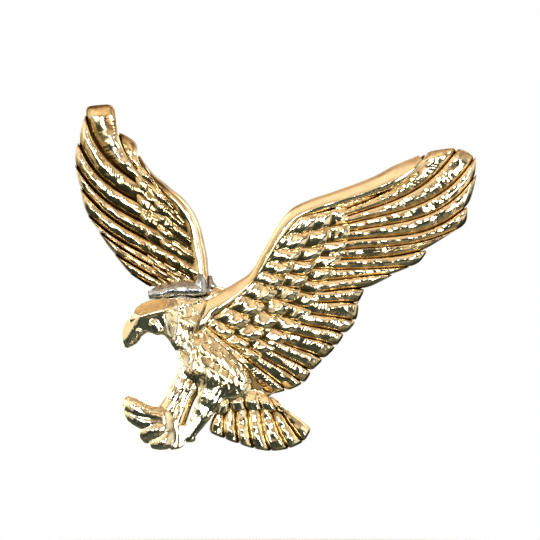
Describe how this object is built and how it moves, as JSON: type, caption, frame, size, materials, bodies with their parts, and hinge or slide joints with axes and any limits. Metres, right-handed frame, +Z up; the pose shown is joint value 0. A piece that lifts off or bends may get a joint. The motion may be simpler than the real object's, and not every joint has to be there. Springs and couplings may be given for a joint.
{
  "type": "cap badge",
  "caption": "Eagle-shaped gilt cap badge in relief, wings raised, with soldered posts on the back held by butterfly clutches.",
  "frame": {"origin": "middle of the badge's outline seen from the front, on the flat seat of the near wing's back that lies against the cap", "axes": "+Y is out of the back, along the posts; the relief faces -Y; +Z is up as the badge is worn; +X is to the right seen from the front"},
  "size_m": [0.048, 0.0132, 0.0414],
  "materials": {
    "gilt_casting": "polished gold plate",
    "solder": "bare soft solder",
    "brass": "bright stamped brass",
    "spring_steel": "bright spring strip"
  },
  "bodies": {
    "badge": {"eagle_body": "gilt_casting", "near_wing": "gilt_casting", "far_wing": "gilt_casting", "far_wing_solder": "solder", "shoulder_solder": "solder", "near_wing_solder": "solder", "body_post_pad": "brass", "body_post_solder": "solder", "body_post": "brass", "wing_post_pad": "brass", "wing_post_solder": "solder", "wing_post": "brass"},
    "body_clutch": {"body_clutch_plate": "brass", "body_clutch_housing": "brass", "body_clutch_spring": "spring_steel"},
    "body_lever_a": {"body_clutch_lever_a": "brass"},
    "body_lever_b": {"body_clutch_lever_b": "brass"},
    "wing_clutch": {"wing_clutch_plate": "brass", "wing_clutch_housing": "brass", "wing_clutch_spring": "spring_steel"},
    "wing_lever_a": {"wing_clutch_lever_a": "brass"},
    "wing_lever_b": {"wing_clutch_lever_b": "brass"}
  },
  "joints": [
    {"name": "body_clutch_pull_off", "type": "slide", "parent": "badge", "child": "body_clutch", "axis": [0, 1, 0], "range_m": [0, 0.012]},
    {"name": "body_lever_a_squeeze", "type": "hinge", "parent": "body_clutch", "child": "body_lever_a", "pos_m": [-0.00125, 0.00485, -0.01], "axis": [0, 0, 1], "range_deg": [0, 11], "stiffness_Nm_per_rad": 0.005, "springref_deg": -17.19},
    {"name": "body_lever_b_squeeze", "type": "hinge", "parent": "body_clutch", "child": "body_lever_b", "pos_m": [-0.00745, 0.00485, -0.01], "axis": [0, 0, 1], "range_deg": [-11, 0], "stiffness_Nm_per_rad": 0.005, "springref_deg": 17.19},
    {"name": "wing_clutch_pull_off", "type": "slide", "parent": "badge", "child": "wing_clutch", "axis": [0, 1, 0], "range_m": [0, 0.012]},
    {"name": "wing_lever_a_squeeze", "type": "hinge", "parent": "wing_clutch", "child": "wing_lever_a", "pos_m": [0.00458, 0.00485, -0.00417], "axis": [1, 0, 0], "range_deg": [0, 11], "stiffness_Nm_per_rad": 0.005, "springref_deg": -17.19},
    {"name": "wing_lever_b_squeeze", "type": "hinge", "parent": "wing_clutch", "child": "wing_lever_b", "pos_m": [0.00458, 0.00485, 0.00203], "axis": [1, 0, 0], "range_deg": [-11, 0], "stiffness_Nm_per_rad": 0.005, "springref_deg": 17.19}
  ]
}
